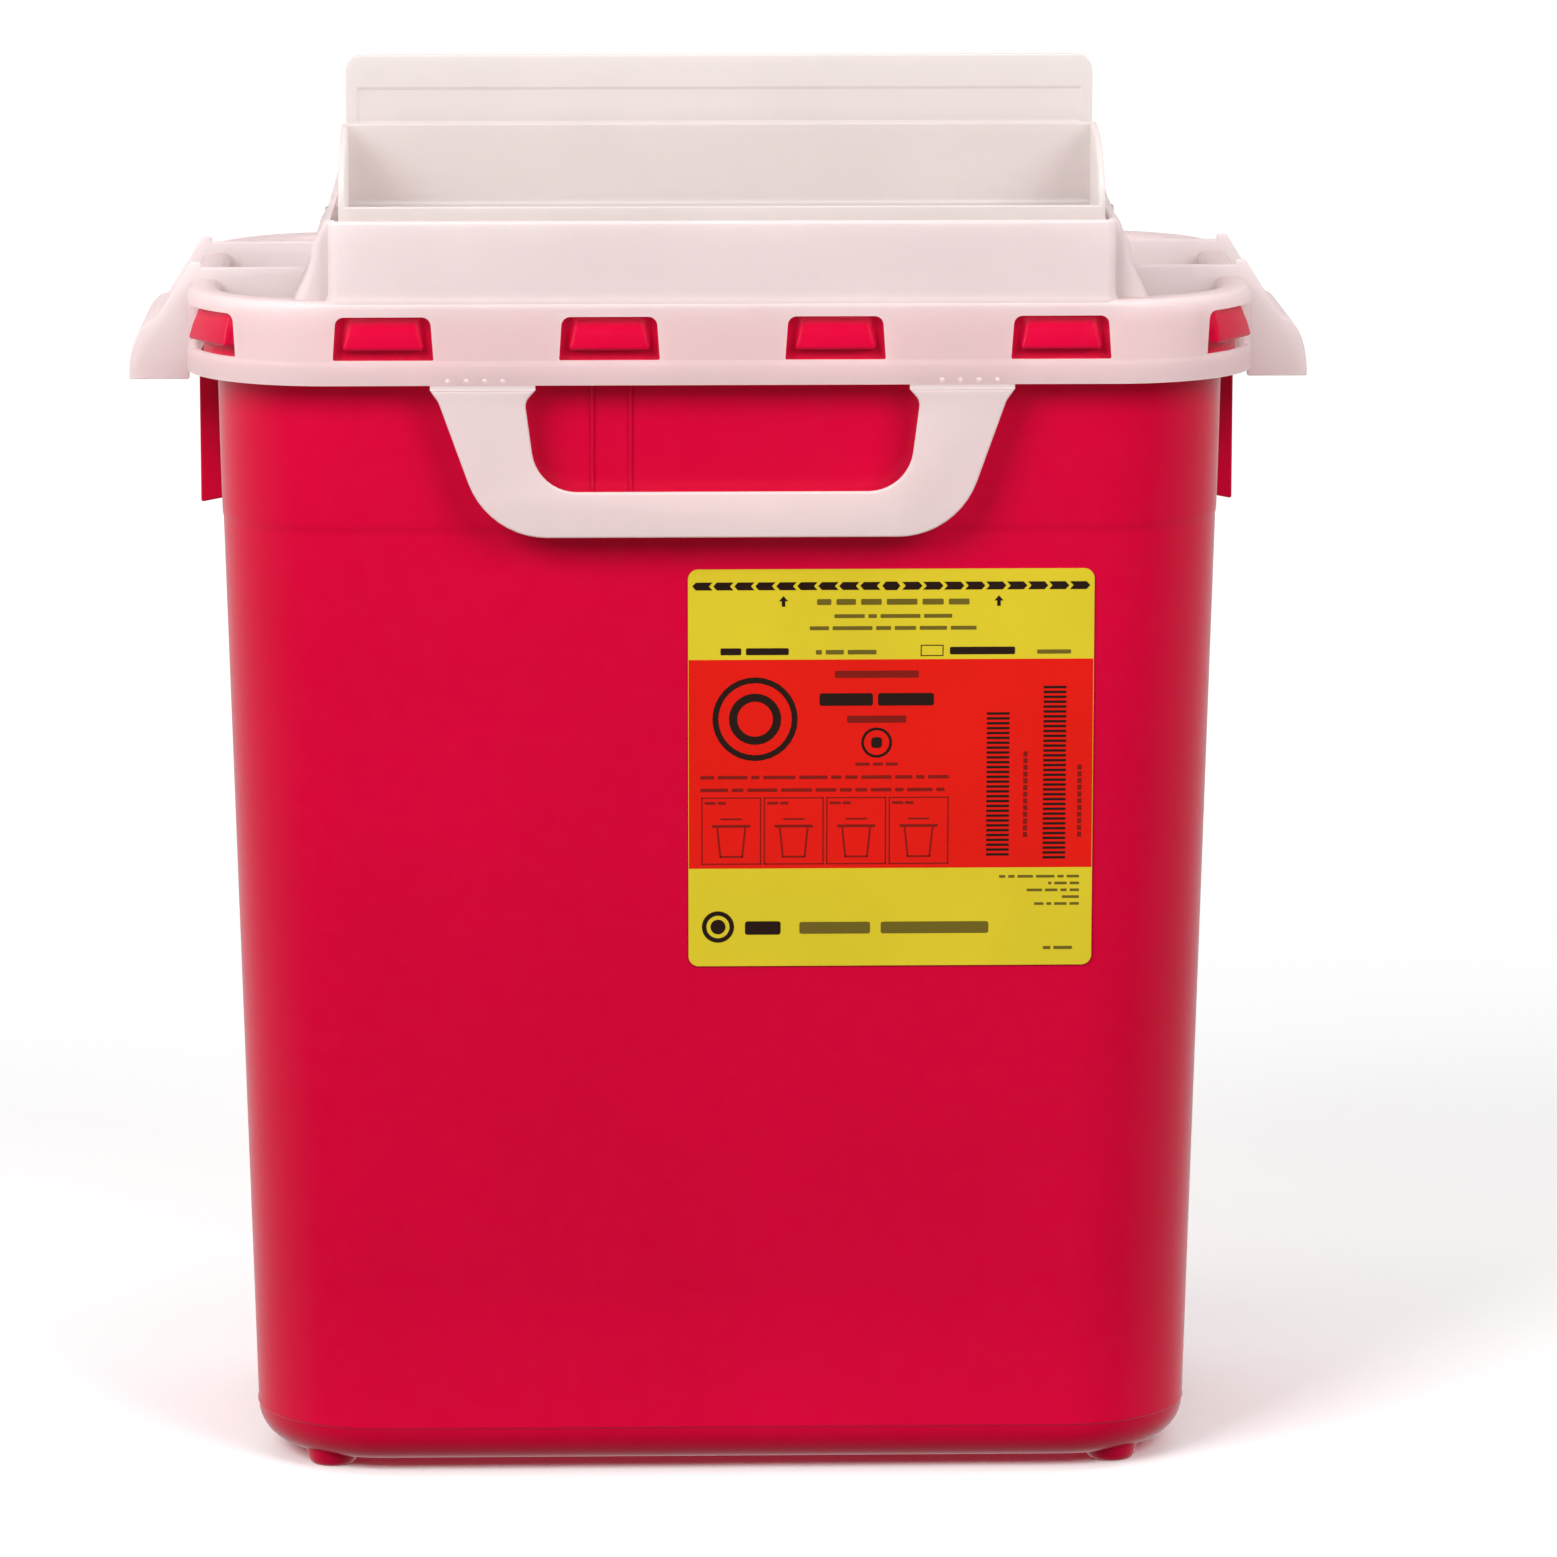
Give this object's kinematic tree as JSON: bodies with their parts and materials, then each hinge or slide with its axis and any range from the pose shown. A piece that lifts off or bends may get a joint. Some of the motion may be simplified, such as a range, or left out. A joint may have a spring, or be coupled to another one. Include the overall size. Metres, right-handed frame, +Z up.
{
  "type": "sharps container",
  "caption": "Tall tapered tub with a clip-on lid, a counterbalanced tipping tray in a raised collar, and a fold-up loop handle.",
  "frame": {"origin": "on the floor under the middle of the container, level with the bottoms of the feet", "axes": "+Z up, front (tray lip, handle and front label) faces -Y, +X to the right seen from the front"},
  "size_m": [0.3476, 0.19, 0.4189],
  "materials": {
    "tub_plastic": "moulded polypropylene, satin gloss",
    "lid_plastic": "milky translucent polypropylene",
    "tray_plastic": "milky translucent polypropylene",
    "handle_plastic": "milky translucent polypropylene",
    "counterweight_steel": "plain drawn bar",
    "label_film": "printed adhesive film, semi-gloss"
  },
  "bodies": {
    "root": {"container_body": "tub_plastic", "lid": "lid_plastic", "front_label": "label_film", "back_label": "label_film", "handle_hinge_left": "handle_plastic", "handle_hinge_right": "handle_plastic"},
    "tray": {"tray_door": "tray_plastic", "tray_counterweight": "counterweight_steel"},
    "handle": {"carry_handle": "handle_plastic"}
  },
  "joints": [
    {"name": "tray_tip", "type": "hinge", "parent": "root", "child": "tray", "pos_m": [0, -0.049, 0.372], "axis": [1, 0, 0], "range_deg": [0, 85]},
    {"name": "handle_fold", "type": "hinge", "parent": "root", "child": "handle", "pos_m": [0, -0.095, 0.3273], "axis": [-1, 0, 0], "range_deg": [0, 165], "deforming": ["handle_hinge_left", "handle_hinge_right"]}
  ]
}
